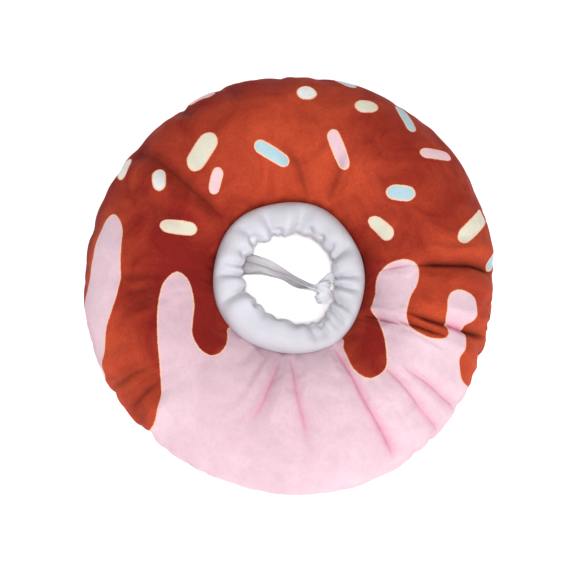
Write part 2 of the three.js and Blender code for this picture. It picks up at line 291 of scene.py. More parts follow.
class Surface:
    """A procedural material and short ways to add its nodes."""

    def __init__(self, name):
        self.material = bpy.data.materials.new(name)
        self.material.use_nodes = True
        self.tree = self.material.node_tree
        self.places = self.add("ShaderNodeTexCoord", {})

    def add(self, kind, inputs, **values):
        node = self.tree.nodes.new(kind)
        set_all(node, values)
        self.feed(node, inputs)
        return node

    def feed(self, node, inputs):
        """Sets or links a node's inputs, by name or number."""
        for key, value in inputs.items():
            socket = node.inputs[key]
            if isinstance(value, bpy.types.NodeSocket):
                self.tree.links.new(value, socket)
            else:
                socket.default_value = value[:3] if socket.type == "VECTOR" else value

    def math(self, operation, a, b=0.0):
        return self.add("ShaderNodeMath", {0: a, 1: b}, operation=operation).outputs[0]

    def noise(self, size, detail=3, roughness=0.55, distortion=0.0):
        """Noise with lumps of about the given size in millimetres."""
        scale = [1 / (size * MM)] * 3
        place = self.add("ShaderNodeMapping", {"Vector": self.places.outputs["Object"], "Scale": scale})
        inputs = {"Vector": place.outputs["Vector"], "Scale": 1.0, "Detail": detail}
        inputs.update({"Roughness": roughness, "Distortion": distortion})
        return self.add("ShaderNodeTexNoise", inputs).outputs["Fac"]

    def ranged(self, value, from_low, from_high, to_low, to_high):
        inputs = dict(enumerate((value, from_low, from_high, to_low, to_high)))
        return self.add("ShaderNodeMapRange", inputs).outputs[0]

    def varied(self, noise, low, high):
        """A value that goes from low to high with a noise."""
        return self.ranged(noise, *NOISE_RANGE, low, high)

    def waves(self, length, pitch, shift=0.0):
        """Waves along a length in metres, with their pitch in millimetres and a shift in radians."""
        turn = self.math("MULTIPLY", length, 2 * math.pi / (pitch * MM))
        return self.math("SINE", self.math("ADD", turn, shift))

    def mix(self, share, a, b, blend="MIX"):
        inputs = {0: share, 6: a, 7: b}
        return self.add("ShaderNodeMix", inputs, data_type="RGBA", blend_type=blend).outputs[2]

    def lighten(self, colour, factor):
        """The colour times a factor that varies over the surface."""
        return self.add("ShaderNodeVectorMath", {0: colour, "Scale": factor}, operation="SCALE").outputs[0]

    def bump(self, height, strength, distance, under=None):
        inputs = {"Height": height, "Strength": strength, "Distance": distance * MM}
        if under is not None:
            inputs["Normal"] = under
        return self.add("ShaderNodeBump", inputs).outputs[0]

    def stored(self, name, output="Fac"):
        """A value stored in the mesh."""
        return self.add("ShaderNodeAttribute", {}, attribute_name=name).outputs[output]

    def split(self, places):
        return self.add("ShaderNodeSeparateXYZ", {0: self.places.outputs[places]}).outputs

    def lengths(self):
        """The UVs, in metres round a piece and along its section."""
        return self.split("UV")[:2]

    def slants(self):
        """Two slanting lengths through a piece, in metres."""
        x, y, z = self.split("Object")
        along = self.math("ADD", x, self.math("MULTIPLY", z, 0.6))
        return along, self.math("ADD", y, self.math("MULTIPLY", x, 0.4))

    def finished(self, inputs):
        """The material, once its shader's inputs are set."""
        self.feed(self.tree.nodes["Principled BSDF"], inputs)
        return self.material


def plush(name, colour, sheen_tint, sheen):
    """Short-pile plush, whose colour comes from a function."""
    s = Surface(name)
    nap = s.noise(26, detail=4, roughness=0.6, distortion=0.6)
    tufts = s.noise(3.2, detail=3, roughness=0.6)
    fibres = s.noise(0.75, detail=2, roughness=0.7)
    shade = s.math("ADD", s.varied(nap, 0.96, 1.04), s.varied(tufts, -0.035, 0.03))
    shade = s.math("ADD", shade, s.varied(fibres, -0.05, 0.05))
    under = s.bump(tufts, strength=0.22, distance=1)
    return s.finished({
        "Base Color": s.lighten(colour(s), shade),
        "Roughness": s.varied(fibres, 0.82, 0.98),
        "Specular IOR Level": 0.2,
        "Sheen Weight": sheen,
        "Sheen Roughness": 0.45,
        "Sheen Tint": sheen_tint,
        "Subsurface Weight": 0.25,
        "Subsurface Radius": (1, 0.5, 0.5),
        "Subsurface Scale": 4 * MM,
        "Normal": s.bump(fibres, strength=0.4, distance=0.4, under=under),
    })


# Each pile's two tones, which its nap and the painted light and shade mix
COCOA_DEEP = linear(132, 27, 21)
COCOA_LIGHT = linear(197, 76, 44)
PINK_DEEP = linear(213, 181, 192)
PINK_LIGHT = linear(230, 202, 212)
PINK_CREASE_SHADE = (0.92, 0.36, 0.56, 1)  # painted crease shade: what the colour is multiplied by in the deepest creases
COCOA_CREASE_SHADE = (0.16, 0.08, 0.1, 1)
OUTLINE = linear(247, 200, 168)
SPRINKLE_COLOURS = {
    "yellow": linear(224, 219, 200),
    "blue": linear(178, 207, 217),
    "pink": linear(232, 197, 207),
    "grey": linear(234, 233, 231),
}
OUTLINE_WIDTH = 0.95
OUTLINE_STRENGTH = 0.85  # of the glaze's outline
PRINT_BLUR = 0.3
PRINT_FUZZ = 0.22  # how far the pile moves the print's edges


def nap_and_painted_light_tone(s, deep, light):
    """A pile's colour, from random nap and a stored map of nap and painted light and shade."""
    brush = s.noise(30, detail=5, roughness=0.62, distortion=0.8)
    share = s.math("ADD", s.stored("nap_and_painted_light"), s.varied(brush, 0.22, 0.78))
    return s.mix(s.math("MAXIMUM", s.math("MINIMUM", share, 1), 0), deep, light)


# Painted shade: a colour darkened towards a tint in creases, by the stored crease shade
def crease_shaded(s, colour, tint):
    return s.mix(s.stored("painted_crease_shade"), colour, tint, "MULTIPLY")


def pink_pile(s):
    return crease_shaded(s, nap_and_painted_light_tone(s, PINK_DEEP, PINK_LIGHT), PINK_CREASE_SHADE)


def cocoa_pile(s):
    grain = s.varied(s.noise(1.3, detail=2, roughness=0.7), 0.86, 1.14)
    return crease_shaded(s, s.lighten(nap_and_painted_light_tone(s, COCOA_DEEP, COCOA_LIGHT), grain), COCOA_CREASE_SHADE)


def print_colours(s):
    """The printed front: brown glaze over pink, with outlined sprinkles on the glaze."""
    fuzz = s.varied(s.noise(0.9, detail=2), -PRINT_FUZZ, PRINT_FUZZ)
    glaze = s.math("ADD", s.stored("glaze_inside"), fuzz)
    sprinkle = s.math("ADD", s.stored("sprinkle_outside"), fuzz)
    base = s.mix(s.ranged(glaze, -PRINT_BLUR, PRINT_BLUR, 0, 1), pink_pile(s), cocoa_pile(s))
    edge = s.math("ABSOLUTE", glaze)
    half = OUTLINE_WIDTH / 2
    outline = s.ranged(edge, half - PRINT_BLUR, half + PRINT_BLUR, OUTLINE_STRENGTH, 0)
    base = s.mix(outline, base, OUTLINE)
    base = s.mix(s.ranged(sprinkle, -PRINT_BLUR, PRINT_BLUR, 1, 0), base, OUTLINE)
    inner = s.math("ADD", sprinkle, OUTLINE_WIDTH)
    # the sprinkles get the same painted crease shade as the glaze
    tint = crease_shaded(s, s.stored("sprinkle_tint", "Color"), COCOA_CREASE_SHADE)
    return s.mix(s.ranged(inner, -PRINT_BLUR, PRINT_BLUR, 1, 0), base, tint)


THIN_CLOTH = {"Sheen Weight": 0.15, "Subsurface Weight": 0.4, "Subsurface Radius": (1, 1, 1)}


def smooth_cloth(name, colour):
    """Smooth, closely woven cloth."""
    s = Surface(name)
    around, along = s.lengths()
    weave = s.math("MULTIPLY", s.waves(around, pitch=0.55), s.waves(along, pitch=0.55))
    cloud = s.noise(14, detail=3)
    slub = s.noise(1.4, detail=2)
    shade = s.math("ADD", s.varied(cloud, 0.97, 1.02), s.varied(slub, -0.015, 0.015))
    shade = s.math("ADD", shade, s.math("MULTIPLY", weave, 0.012))
    under = s.bump(cloud, strength=0.25, distance=1.5)
    return s.finished({
        "Base Color": s.lighten(colour, shade),
        "Roughness": s.varied(slub, 0.6, 0.74),
        "Specular IOR Level": 0.3,
        "Sheen Roughness": 0.4,
        "Subsurface Scale": 4 * MM,
        **THIN_CLOTH,
        "Normal": s.bump(weave, strength=0.3, distance=0.08, under=under),
    })


TAPE_PAINTED_LIGHT = 1.3  # painted light: how much lighter a tail's colour is at the knot, above the shade in the opening
PAINTED_LIGHT_LENGTHS = (0.022, 0.05)  # metres from the tail's start between which that painted light fades out


def woven_tape(name, colour, by_place=False):
    """Cotton tape, with ribs along it and fine threads across. By place, its ribs run across the knot."""
    s = Surface(name)
    along, across = s.slants() if by_place else s.lengths()
    ribs = s.waves(across, pitch=0.9)
    picks = s.waves(along, pitch=0.6)
    weave = s.math("ADD", ribs, s.math("MULTIPLY", picks, 0.5))
    wear = s.noise(6, detail=4)
    shade = s.math("ADD", s.varied(wear, 0.94, 1.03), s.math("MULTIPLY", weave, 0.04))
    if not by_place:
        bend = s.varied(s.noise(24, detail=2), -1.4, 1.4)
        # painted shade: a dark, wavy line down the tail, as shade in a furrow
        furrow_shade = s.waves(across, pitch=4.6, shift=bend)
        shade = s.math("ADD", shade, s.ranged(furrow_shade, 0.3, 1, 0.04, -0.42))
        # painted light on the tail near the knot
        shade = s.math("MULTIPLY", shade, s.ranged(along, *PAINTED_LIGHT_LENGTHS, TAPE_PAINTED_LIGHT, 1))
    return s.finished({
        "Base Color": s.lighten(colour, shade),
        "Roughness": s.varied(wear, 0.75, 0.9),
        "Specular IOR Level": 0.25,
        "Subsurface Scale": 2 * MM,
        **THIN_CLOTH,
        "Normal": s.bump(weave, strength=0.5, distance=0.18),
    })


def soft_plastic(name, colour):
    s = Surface(name)
    grain = s.noise(0.5, detail=2)
    cloud = s.noise(7, detail=3)
    return s.finished({
        "Base Color": s.lighten(colour, s.varied(cloud, 0.96, 1.02)),
        "Roughness": s.varied(cloud, 0.36, 0.48),
        "Normal": s.bump(grain, strength=0.12, distance=0.05),
    })


# The drawstring
ROUTE_STEPS = 24  # between two points of a route


def route_samples(route, count):
    """Evenly spaced points on a smooth curve through a route, as an array."""
    knots = np.array(route, float)
    before = knots[0] * 2 - knots[1]
    after = knots[-1] * 2 - knots[-2]
    p = np.vstack([before, knots, after])
    pieces = []
    shares = np.linspace(0, 1, ROUTE_STEPS, endpoint=False)[:, None]
    for k in range(len(knots) - 1):
        a, b, c, d = p[k : k + 4]
        steps = b - a, c - b, d - c
        first, second, third = np.cumsum([math.sqrt(np.linalg.norm(step)) for step in steps])
        start = c - b + ((b - a) / first - (c - a) / second) * (second - first)
        end = c - b + ((d - c) / (third - second) - (d - b) / (third - first)) * (second - first)
        cubic = 2 * b - 2 * c + start + end
        square = -3 * b + 3 * c - 2 * start - end
        pieces.append(cubic * shares**3 + square * shares**2 + start * shares + b)
    points = np.vstack(pieces + [knots[-1:]])
    lengths = np.concatenate([[0], np.cumsum(np.linalg.norm(np.diff(points, axis=0), axis=1))])
    even = np.linspace(0, lengths[-1], count)
    return np.stack([np.interp(even, lengths, points[:, k]) for k in range(3)], -1), lengths[-1]


def rounded(wave, power):
    """A wave whose crests are the broader, the lower the power is."""
    return np.sign(wave) * np.abs(wave) ** power


def tape_section(width, thickness, curl, count=32):
    """The rounded outline of a tape's section, whose edges curl up, as its places across and up."""
    angles = np.linspace(0, 360, count, endpoint=False)
    across = rounded(cosine(angles), 0.45) * width / 2
    up = rounded(sine(angles), 0.8) * thickness / 2
    return across, up + curl * ((across / (width / 2)) ** 2 - 0.4)


def tape_dents(side, share):
    """Irregular dents of about unit size, from the place across a tape and the share of its length."""
    return sine(side * 150 + 40) * sine(share * 420 + 30) + 0.6 * sine(side * 95 + share * 900)


def swept_tape(name, centres, width, thickness, twist, curl, dent):
    """A flat tape along even centres, turned on edge by the twist at each, with dents up to a depth."""
    ahead = unit(np.gradient(centres, axis=0))
    level = unit(np.cross([0, 0, 1], ahead))
    across = level * cosine(twist)[:, None] + np.cross(ahead, level) * sine(twist)[:, None]
    face = np.cross(ahead, across)
    side, up = tape_section(width, thickness, curl)
    share = np.linspace(0, 1, len(centres))[:, None]
    lift = up[None] + dent * tape_dents(side, share)
    points = centres[:, None] + across[:, None] * side[None, :, None] + face[:, None] * lift[..., None]
    length = np.linalg.norm(np.diff(centres, axis=0), axis=1).sum()
    return grid_mesh(name, points[:, ::-1], (length, 2 * (width + thickness)), wrap_rows=False, capped=True)


TAIL_STEPS = 150


def tail(name, route, node, material):
    centres, length = route_samples(np.array(route) + SHIFT, TAIL_STEPS)
    twist = TAIL_TWIST * (1 - smoothstep(np.linspace(0, 1, TAIL_STEPS), *TWIST_FADE))
    obj = swept_tape(name, centres, TAPE_WIDTH, TAPE_THICKNESS, twist, curl=0.35, dent=0.16)
    placed(obj, material, node)


def joined(name, parts):
    """One object from several."""
    for part in bpy.context.selected_objects:
        part.select_set(False)
    for part in parts:
        part.select_set(True)
    bpy.context.view_layer.objects.active = parts[0]
    bpy.ops.object.join()
    parts[0].name = name
    return parts[0]


def softened(obj, voxel, rounds):
    """Makes one soft skin of a piece's parts, with voxels in millimetres and rounds of smoothing."""
    steps = {
        "REMESH": {"mode": "VOXEL", "voxel_size": voxel * MM},
        "SMOOTH": {"factor": 0.5, "iterations": rounds},
        "SUBSURF": {"levels": 1},
    }
    bpy.context.view_layer.objects.active = obj
    for kind, values in steps.items():
        set_all(obj.modifiers.new(kind, kind), values)
        bpy.ops.object.modifier_apply(modifier=kind)
    obj.data.shade_smooth()


# The knot's turns of tape, as (length, depth, place along the knot, slant, lean, width).
KNOT_TURNS = [
    (12.6, 10.4, -4, 18, -6, 6.2),
    (12.6, 10.8, 0.6, -24, 6, 5.8),
    (11, 9.6, 4.4, 20, 8, 5),
]
KNOT_CORE = (4.6, 9.4, 4.2)  # the half sizes of the lump inside the turns
KNOT_TIGHTNESS = 0.8  # how far the turns are drawn in
BUNCHED_THICKNESS = 1.7  # of the tape in the knot and in its strands
BUNCHED_CURL = -1.5
KNOT_STEPS = 48


def knot_turn(number, length, depth, place, slant, lean, width):
    angles = np.linspace(0, 360, KNOT_STEPS, endpoint=False)
    loop = np.stack([cosine(angles) * length / 2, 0 * angles, sine(angles) * depth / 2], -1)
    ahead = unit(np.roll(loop, -1, 0) - np.roll(loop, 1, 0))
    across = np.tile([0.0, 1.0, 0.0], (len(loop), 1))
    face = np.cross(ahead, across)
    side, up = tape_section(width, BUNCHED_THICKNESS, BUNCHED_CURL, 20)
    bulge = 1 + 0.12 * sine(angles * 2 + number * 70)
    points = loop[:, None] * KNOT_TIGHTNESS + across[:, None] * side[None, :, None] * bulge[:, None, None]
    points = points + face[:, None] * up[None, :, None]
    turn = Matrix.Rotation(math.radians(slant), 3, "Z") @ Matrix.Rotation(math.radians(lean), 3, "Y")
    points = points @ np.array(turn).T + [0, place, 0] + KNOT_PLACE + SHIFT
    return grid_mesh(f"turn_{number}", points[:, ::-1])


def knot_lump():
    around = np.linspace(0, 360, KNOT_STEPS, endpoint=False)
    angles, rises = np.meshgrid(around, np.linspace(-88, 88, KNOT_STEPS // 2), indexing="ij")
    ball = np.stack([cosine(rises) * cosine(angles), sine(rises), cosine(rises) * sine(angles)], -1)
    points = ball * KNOT_CORE + KNOT_PLACE + SHIFT
    return grid_mesh("lump", points[:, ::-1], wrap_columns=False)


# The strands between the knot and the hem, as (angle at the hem, where it starts from the knot's middle).
LEAD_STRANDS = [(3, (-2.6, 5.5, 1.2)), (-6, (0.5, 4.5, 1.6))]
STRAND_WIDTH = 3.8
STRAND_TWIST = 12.0  # degrees
STRAND_STEPS = 24
STRAND_TUCK = 0.6  # of its end in the hem
STRAND_BEND = (3.4, 1.2)  # how far before the hem it bends, and how far above the hem


def lead_strand(number, hem_angle, leave):
    radius, height = hem_place(hem_angle)
    reach = radius - HEM_BEAD / 2 + STRAND_TUCK
    before, above = STRAND_BEND
    end = polar(reach, hem_angle, height)
    middle = polar(reach - before, hem_angle, height + above)
    start = np.array(KNOT_PLACE) + leave
    centres, _ = route_samples(np.array([start, middle, end]) + SHIFT, STRAND_STEPS)
    twist = np.full(STRAND_STEPS, STRAND_TWIST)
    size = STRAND_WIDTH, BUNCHED_THICKNESS
    return swept_tape(f"strand_{number}", centres, *size, twist, curl=0.3, dent=0.1)


def make_knot(material):
    parts = [knot_lump()]
    parts += [knot_turn(number, *row) for number, row in enumerate(KNOT_TURNS)]
    parts += [lead_strand(number, *row) for number, row in enumerate(LEAD_STRANDS)]
    knot = joined("tape_knot", parts)
    softened(knot, voxel=0.65, rounds=22)
    placed(knot, material, "drawstring_knot")
    return knot


# The ring's shape
FLOOR_ROUNDING = 1.5  # how softly its section turns flat at the floor

# The shape of a fold, in shares of its width and its depth, and its painted shade
VALLEY_DEPTH = 0.75
VALLEY_WIDTH = 1.05
VALLEY_TILT = 0.35  # how much deeper it is on its far side
TILT_WIDTH = 0.3
PINCH_WIDTH = 0.14  # of its narrow line
SHOULDER_HEIGHT = 0.35
SHOULDER_PLACE = 1.6
SHOULDER_WIDTH = 0.7
SHADE_WIDTH = 0.34  # of its darkest painted shade
SOFT_SHADE = 0.42  # how dark the painted shade over the rest of it is
SOFT_SHADE_WIDTH = 0.6
FULL_SHADE_DEPTH = 0.055  # of the folds with the darkest painted shade


def section_sizes(angle):
    """The section's half width, and how far below the seam its back would go without the floor."""
    half_width = (OUTER_DIAMETER / 2 * waved(RING_WAVES, angle) - hole_radius) / 2
    flat_turn = np.degrees(np.arccos(REST_WIDTH / 2 / half_width))
    return half_width, SEAM_HEIGHT / sine(flat_turn)


def fold_wander(way, number):
    """How many degrees a fold strays from a straight line."""
    return 0.5 * sine(way * 230 + number * 77) + 0.16 * sine(way * 800 + number * 31)


def fold_depth(angle, along):
    """How far the folds take the cloth in, as a share of the section's size, and how much painted shade
    darkens their colour, from 0 to 1. The cloth puffs out a little beside a fold."""
    valley = np.zeros(np.broadcast(angle, along).shape)
    shoulder = valley.copy()
    shade = valley.copy()
    for number, (at, lean, width, depth, start, end, sharpness) in enumerate(RING_FOLDS):
        way = np.clip((along - start) / (end - start), 0, 1)
        off = turn_between(angle, at + lean * (way - 0.5) + fold_wander(way, number)) / width
        fade = smoothstep(along, start, start + FOLD_FADE) * (1 - smoothstep(along, end - FOLD_FADE, end))
        soft = VALLEY_DEPTH * (1 + VALLEY_TILT * np.tanh(off / TILT_WIDTH)) * bell(off, VALLEY_WIDTH)
        line = sharpness * np.exp(-np.abs(off) / PINCH_WIDTH)
        valley = np.maximum(valley, depth * fade * (soft + line))
        beside = bell(np.abs(off) - SHOULDER_PLACE, SHOULDER_WIDTH)
        shoulder = np.maximum(shoulder, depth * fade * beside)
        # painted shade: a dark line along the fold and a softer shade round it
        shade_line = math.sqrt(sharpness) * np.exp(-np.abs(off) / SHADE_WIDTH)
        soft_shade = SOFT_SHADE * bell(off, SOFT_SHADE_WIDTH)
        shade = np.maximum(shade, fade * np.maximum(shade_line, soft_shade) * min(1, depth / FULL_SHADE_DEPTH))
    return valley - SHOULDER_HEIGHT * shoulder, shade


def ring_points(angle, turn, inset, fold):
    """Points of the ring, from the angle round it, the turn round its section, how far they are inset, and
    the share of the section by which they are folded in."""
    half_width, drop = section_sizes(angle)
    reach = np.where(sine(turn) > 0, RING_HEIGHT - SEAM_HEIGHT, drop)
    height = SEAM_HEIGHT + (reach - inset) * (1 - fold) * sine(turn)
    radius = hole_radius + half_width + (half_width - inset) * (1 - fold) * cosine(turn)
    height = (height + np.sqrt(height**2 + FLOOR_ROUNDING)) / 2
    return polar(radius, angle, height) + SHIFT


def inner_seam_turn(angle):
    half_width, _ = section_sizes(angle)
    return np.degrees(np.arccos((SLEEVE_DIAMETER / 2 - hole_radius - half_width) / half_width))


def edge_roll(distance, depth):
    """How far the cloth rolls in at a seam, at a distance from it."""
    inside = np.clip(1 - distance / depth, 0, 1)
    return depth * (1 - np.sqrt(1 - inside**2))


# Where the pile is lighter or darker, as (angle, share, width, height, amount): partly its nap, brushed up
# or down, and partly painted light and shade.
NAP_AND_PAINTED_LIGHT = [
    (84, 0.38, 44, 0.27, 0.38),
    (44, 0.62, 26, 0.16, -0.4),
    (14, 0.42, 16, 0.14, -0.2),
    (8, 0.66, 5, 0.16, 0.42),
    (-2, 0.36, 9, 0.12, 0.3),
    (-22, 0.55, 10, 0.16, 0.5),
    (-24, 0.88, 14, 0.12, 0.45),
    (-182, 0.82, 18, 0.12, 0.3),
    (-105, 0.6, 32, 0.5, -0.35),
    (-190, 0.76, 14, 0.1, 0.5),
    (-192, 0.93, 26, 0.08, -0.7),
    (112, 0.86, 50, 0.16, -0.4),
    (60, 0.92, 50, 0.1, -0.4),
    (172, 0.4, 44, 0.4, -0.5),
    (-150, 0.74, 22, 0.19, 0.42),
    (-155, 0.3, 24, 0.16, -0.5),
    (-40, 0.34, 16, 0.14, -0.6),
    (4, 0.16, 30, 0.14, -0.5),
]


def nap_and_painted_light(angle, along):
    total = np.zeros(np.broadcast(angle, along).shape)
    for at, share, wide, tall, amount in NAP_AND_PAINTED_LIGHT:
        off = (turn_between(angle, at) / wide) ** 2 + ((along - share) / tall) ** 2
        total += amount * np.exp(-off)
    return total


# Small creases that start at a seam, as random sets: a seed and how many, then the lowest and highest width
# in degrees, length, depth and lean in degrees.
INNER_CREASES = (6, 50, (1.2, 3), (6, 28), (0.2, 1), (-3, 3))
OUTER_CREASES = (5, 66, (0.6, 1.9), (6, 34), (0.4, 2.6), (-3, 3))
HEM_TUCKS = (3, 38, (1.6, 3.4), (4, 14), (0.2, 1), (-4, 4))
CREASE_STRAY = 0.36  # how far a crease is from its even place, as a share of the way to the next
CREASE_SPREAD = 0.7  # how much wider it gets towards its end

# The sleeve's main gathers, as (angle at the hem, lean, width in degrees, depth, length from the hem).
GATHERS = [
    (141, -5, 4.5, 2.8, 20),
    (133, 4, 7, 3.4, 46),
    (112, 3, 6, 2.8, 46),
    (103, 0, 4, 2, 16),
    (82, -4, 7, 2, 38),
    (65, 3, 5, 2.2, 20),
    (50, 0, 4.5, 2.4, 18),
    (33, 4, 5, 1.8, 26),
    (20, 9, 6, 2.8, 40),
    (-3, 3, 4, 2.6, 46),
    (-14, 1, 4, 3, 46),
    (-31, 3, 4.6, 3.8, 52),
    (-40, -5, 5.4, 3.8, 60),
    (-50, 2, 6, 3.4, 56),
    (-60, 2, 5.6, 3.2, 60),
    (-71, 5, 6.4, 2.4, 50),
    (-84, 0, 5, 0.7, 18),
    (-107, 0, 5, 1.4, 14),
    (-124, 3, 6, 1.2, 26),
    (-142, 3, 4, 2.4, 16),
    (-163, 7, 4.5, 2.8, 42),
    (-180, 0, 3.8, 3, 46),
    (168, 4, 5, 2.4, 34),
    (155, 0, 5, 2, 24),
]


def creases(angle, distance, seed, count, *ranges):
    """How deep a set of creases is, at an angle and a distance from its seam."""
    random = np.random.default_rng(seed)
    at = (np.arange(count) + random.uniform(-CREASE_STRAY, CREASE_STRAY, count)) * 360 / count
    width, length, depth, lean = (random.uniform(*low_and_high, count) for low_and_high in ranges)
    total = np.zeros(np.broadcast(angle, distance).shape)
    for k in range(count):
        way = np.clip(distance / length[k], 0, 1)
        off = np.abs(turn_between(angle, at[k] + lean[k] * way)) / (width[k] * (1 + CREASE_SPREAD * way))
        total += depth[k] * np.exp(-(off**1.5)) * (1 - smoothstep(way, 0.1, 1))
    return total


# Where the outer seam's creases are deepest, as (angle, degrees wide, size), and their size elsewhere.
SCALLOPS = [(-10, 17, 2.4), (-45, 20, 0.8), (-141, 18, 1.5), (118, 18, 2)]
QUIET_SCALLOP = 0.3


def scallop_strength(angle):
    return QUIET_SCALLOP + sum(size * bell(turn_between(angle, at), wide) for at, wide, size in SCALLOPS)


CLOSE_FOLDS_AT = -35  # the angle round which the panels' grids are finest
GRID_CLOSENESS = 0.4  # how much finer they are there
OUTER_ROLL = 2.2
INNER_ROLL = 0.8
OUTER_SEAM_TURN = 0.4  # of each panel's edge from the middle of the outer seam
SEAM_LAP = 14  # degrees by which the front's rolled edge goes on under the sleeve
BACK_DROP = 18  # degrees by which the back's edge stays below the inner seam
DEGREE_LENGTH = 0.85  # about how many millimetres of the section a degree of its turn is
DARKEST_CREASE = 5  # the depth of the small creases with the darkest painted shade
SWELLING = 0.7  # of the panel's broad, uneven swellings


def panel_relief(angle, turn, outer_seam, inner_seam):
    """How far a panel's outside is inset and folded in, and how much painted crease shade darkens it."""
    outer = np.abs(turn - outer_seam) * DEGREE_LENGTH
    inner = np.abs(turn - inner_seam) * DEGREE_LENGTH
    inset = edge_roll(outer, OUTER_ROLL) + edge_roll(inner, INNER_ROLL)
    small = creases(angle, outer, *OUTER_CREASES) * scallop_strength(angle)
    small = small + creases(angle, inner, *INNER_CREASES) * smoothstep(inner, 0, 7)
    broad = ripple(angle + 8 * sine(turn), 5, 11, 8) * ripple(turn, 1, 3, 4)
    inset = inset + small - SWELLING * broad * smoothstep(inner, 0, 12)
    fold, crease_shade = fold_depth(angle, np.clip(1 - turn / 180, 0, 1))
    above = np.where(turn > 0, 1, 0)
    return inset, fold * above, np.clip(np.maximum(crease_shade * above, small / DARKEST_CREASE), 0, 1)


# How a coarse copy of a panel is blown up, to find its small puckers
ROW_STEP = 4
COLUMN_STEP = 2
CLOTH = {
    "quality": 4, "mass": 0.15, "bending_stiffness": 0.3, "use_pressure": True,
    "uniform_pressure_force": 4, "shrink_min": -0.05, "vertex_group_mass": "held",
}
CLOTH_FRAMES = 20
HELD_CREASE = 0.35  # the painted crease shade from which a fold's cloth is held
BROADEST_WAVES = 7  # the most crests round the ring that are left out, which keeps its size and outline
PUCKER_LIMIT = 3
PUCKER_SHARE = 0.7  # of the puckers that is used
FLOOR_GAP = 0.3  # the least height of a puckered panel


def blown_up(points, held):
    """Points of a grid after a short simulation of its cloth under pressure, held where it is told."""
    sheet = grid_mesh("blown", points, wrap_columns=False)
    group = sheet.vertex_groups.new(name="held")
    group.add(np.flatnonzero(held.ravel()).tolist(), 1, "REPLACE")
    cloth = sheet.modifiers.new("cloth", "CLOTH")
    set_all(cloth.settings, CLOTH)
    cloth.settings.effector_weights.gravity = 0
    cloth.collision_settings.use_collision = False
    cloth.collision_settings.use_self_collision = False
    for number in range(1, CLOTH_FRAMES + 1):
        bpy.context.scene.frame_set(number)
    mesh = sheet.evaluated_get(bpy.context.evaluated_depsgraph_get()).data
    moved = np.empty(len(mesh.vertices) * 3, np.float32)
    mesh.vertices.foreach_get("co", moved)
    bpy.data.objects.remove(sheet)
    bpy.context.scene.frame_set(1)
    return moved.reshape(points.shape).astype(float) / MM


def curve_shares(t):
    """The shares of four neighbours in a smooth curve, at a place from 0 to 1 between the middle two."""
    return np.stack([(1 - t) ** 3, 3 * t**3 - 6 * t**2 + 4, -3 * t**3 + 3 * t**2 + 3 * t + 1, t**3]) / 6


def spread(values, rows, columns):
    """A coarse grid's values, smoothly spread over the fine grid."""
    row, row_place = np.divmod(np.arange(rows) / ROW_STEP, 1)
    column, column_place = np.divmod(np.arange(columns) / COLUMN_STEP, 1)
    last = values.shape[1] - 1
    by_row = 0
    for step, share in enumerate(curve_shares(row_place), -1):
        by_row = by_row + share[:, None, None] * values[(row.astype(int) + step) % len(values)]
    total = 0
    for step, share in enumerate(curve_shares(column_place), -1):
        total = total + share[None, :, None] * by_row[:, np.clip(column.astype(int) + step, 0, last)]
    return total


def puckers(outside, crease_shade):
    """How far small puckers move the points of a panel's outside, from a simulation of its cloth."""
    coarse = outside[::ROW_STEP, ::COLUMN_STEP]
    held = crease_shade[::ROW_STEP, ::COLUMN_STEP] > HELD_CREASE
    held[:, :1] = True
    held[:, -1:] = True
    ahead = np.roll(coarse, -1, 0) - np.roll(coarse, 1, 0)
    normals = unit(np.cross(ahead, np.gradient(coarse, axis=1)))
    moves = ((blown_up(coarse, held) - coarse) * normals).sum(-1, keepdims=True)
    waves = np.fft.rfft(moves, axis=0)
    waves[: BROADEST_WAVES + 1] = 0
    moves = np.fft.irfft(waves, len(moves), axis=0)
    moves = PUCKER_SHARE * moves * PUCKER_LIMIT / (PUCKER_LIMIT + np.abs(moves))
    return spread(moves * normals, *outside.shape[:2])


# The valve's place on the back panel, and how far round it the cloth lies smooth, in degrees
VALVE_ANGLE, VALVE_TURN = 90, -48
CALM_ANGLE, CALM_TURN = 8, 22


def away_from_valve(angles, turns):
    """0 under the valve, where the cloth lies smooth, and 1 a little way off."""
    off = (turn_between(angles, VALVE_ANGLE) / CALM_ANGLE) ** 2 + ((turns - VALVE_TURN) / CALM_TURN) ** 2
    return 1 - np.exp(-(off**2))


LINING_ROWS = 6
MIDDLE_RADIUS = 105  # of the ring, for its UVs


def panel(name, angles, turns, outer_seam, inner_seam):
    """A closed panel, as its outside and a lining, with its points' angles and shares of the section."""
    inset, fold, crease_shade = panel_relief(angles, turns, outer_seam, inner_seam)
    calm = away_from_valve(angles, turns)
    outside = ring_points(angles, turns, inset * calm, fold)
    outside = outside + puckers(outside, crease_shade) * calm[..., None]
    outside[..., 2] = np.maximum(outside[..., 2], FLOOR_GAP)
    back = slice(None, None, -(turns.shape[1] // LINING_ROWS))
    lining_turns = turns[:, back]
    lining = ring_points(angles, lining_turns, COVER_WALL, np.maximum(fold[:, back], 0))
    points = np.concatenate([outside, lining], 1)
    obj = grid_mesh(name, points, (2 * math.pi * MIDDLE_RADIUS, 2 * SECTION_LENGTH))
    point_values(obj, "painted_crease_shade", np.concatenate([crease_shade, 0 * lining_turns], 1))
    along = 1 - np.concatenate([turns, lining_turns], 1).ravel() / 180
    angle = np.broadcast_to(angles, points.shape[:2]).ravel()
    # nap and painted light and shade, stored for the material
    point_values(obj, "nap_and_painted_light", nap_and_painted_light(angle, along))
    return obj, angle, along


def ring_angles(count):
    """Angles round the ring, which are closer together towards its close folds."""
    even = np.linspace(0, 360, count, endpoint=False)[:, None]
    return CLOSE_FOLDS_AT + even - np.degrees(GRID_CLOSENESS) * sine(even)


def turns_between(first, last, count):
    return first + (last - first) * np.linspace(0, 1, count)[None, :]


